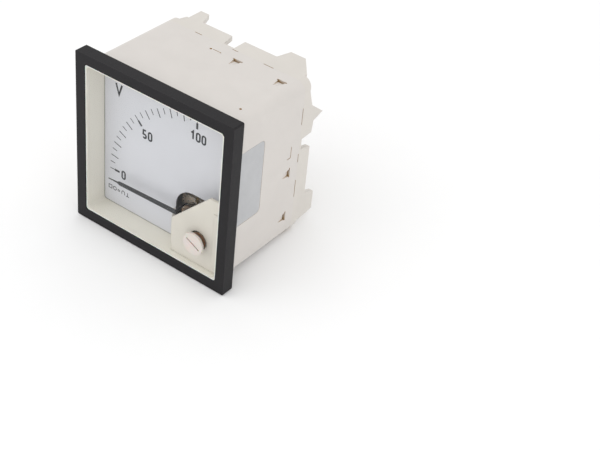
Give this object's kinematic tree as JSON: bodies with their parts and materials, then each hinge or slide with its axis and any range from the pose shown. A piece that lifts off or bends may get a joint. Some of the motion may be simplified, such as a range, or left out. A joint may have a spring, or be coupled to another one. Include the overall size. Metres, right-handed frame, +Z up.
{
  "type": "analog panel meter",
  "caption": "Square moving-coil panel meter with a corner-pivoted 90 degree scale, black bezel, pale plastic case, zero adjuster and rear screw terminals.",
  "frame": {"origin": "centre of the bezel's rear face, in the plane of the panel's front surface", "axes": "+X to the right and +Z up as the dial is read, +Y back through the panel"},
  "size_m": [0.072, 0.0586, 0.072],
  "materials": {
    "black_bezel": "fine satin",
    "clear_window": "clear",
    "housing_plastic": "satin moulded",
    "rear_plastic": "satin moulded",
    "mask_plastic": "satin moulded",
    "dial_face": "white lacquer",
    "small_steel": "bright",
    "adjuster_plastic": "polished",
    "spring_bronze": "rolled bronze",
    "bridge_metal": "dark bronzed",
    "turned_brass": "turned",
    "ruby": "polished synthetic ruby",
    "soft_iron": "phosphated",
    "magnet": "ground",
    "die_cast": "as cast",
    "thin_aluminium": "rolled",
    "copper_wire": "enamelled copper",
    "pointer_grey": "matt dark grey lacquer",
    "plated_steel": "zinc plated",
    "board": "phenolic",
    "resistor_body": "lacquered",
    "wire_sleeve": "insulated",
    "label_foil": "silver film"
  },
  "bodies": {
    "case": {"bezel_frame": "black_bezel", "window": "clear_window", "housing": "housing_plastic", "rear_base": "rear_plastic", "corner_mask": "mask_plastic", "dial_plate": "dial_face", "dial_screws": "small_steel", "front_bridge": "bridge_metal", "bridge_screws": "small_steel", "front_jewel_screw": "turned_brass", "rear_jewel_screw": "turned_brass", "pivot_jewels": "ruby", "yoke_ring": "soft_iron", "core_magnet": "magnet", "movement_frame": "die_cast", "movement_screws": "small_steel", "rear_spring_arm": "spring_bronze", "terminal_plates": "turned_brass", "terminal_saddles": "plated_steel", "terminal_screws": "plated_steel", "resistor_board": "board", "series_resistor": "resistor_body", "internal_leads": "wire_sleeve", "side_label": "label_foil"},
    "moving_coil": {"coil_winding": "copper_wire", "coil_former": "thin_aluminium", "front_staff": "small_steel", "rear_staff": "small_steel", "spring_collets": "turned_brass", "front_hairspring": "spring_bronze", "rear_hairspring": "spring_bronze", "balance_cross": "turned_brass", "balance_weights": "turned_brass", "pointer": "pointer_grey"},
    "zero_screw": {"zero_adjuster": "adjuster_plastic"},
    "zero_arm": {"zero_lever": "spring_bronze"}
  },
  "joints": [
    {"name": "pointer_swing", "type": "hinge", "parent": "case", "child": "moving_coil", "pos_m": [0.0128, 0.0045, -0.0153], "axis": [0, 1, 0], "range_deg": [-2, 96], "stiffness_Nm_per_rad": 0.00003, "deforming": ["front_hairspring", "rear_hairspring"]},
    {"name": "zero_screw_turn", "type": "hinge", "parent": "case", "child": "zero_screw", "pos_m": [0.0213, -0.005, -0.0198], "axis": [0, 1, 0], "range_deg": [-30, 30]},
    {"name": "zero_arm_rock", "type": "hinge", "parent": "case", "child": "zero_arm", "pos_m": [0.0128, 0.0024, -0.0153], "axis": [0, 1, 0], "range_deg": [-5, 5]}
  ],
  "couplings": [
    {"joint": "zero_arm_rock", "follows": "zero_screw_turn", "ratio": -0.148}
  ]
}
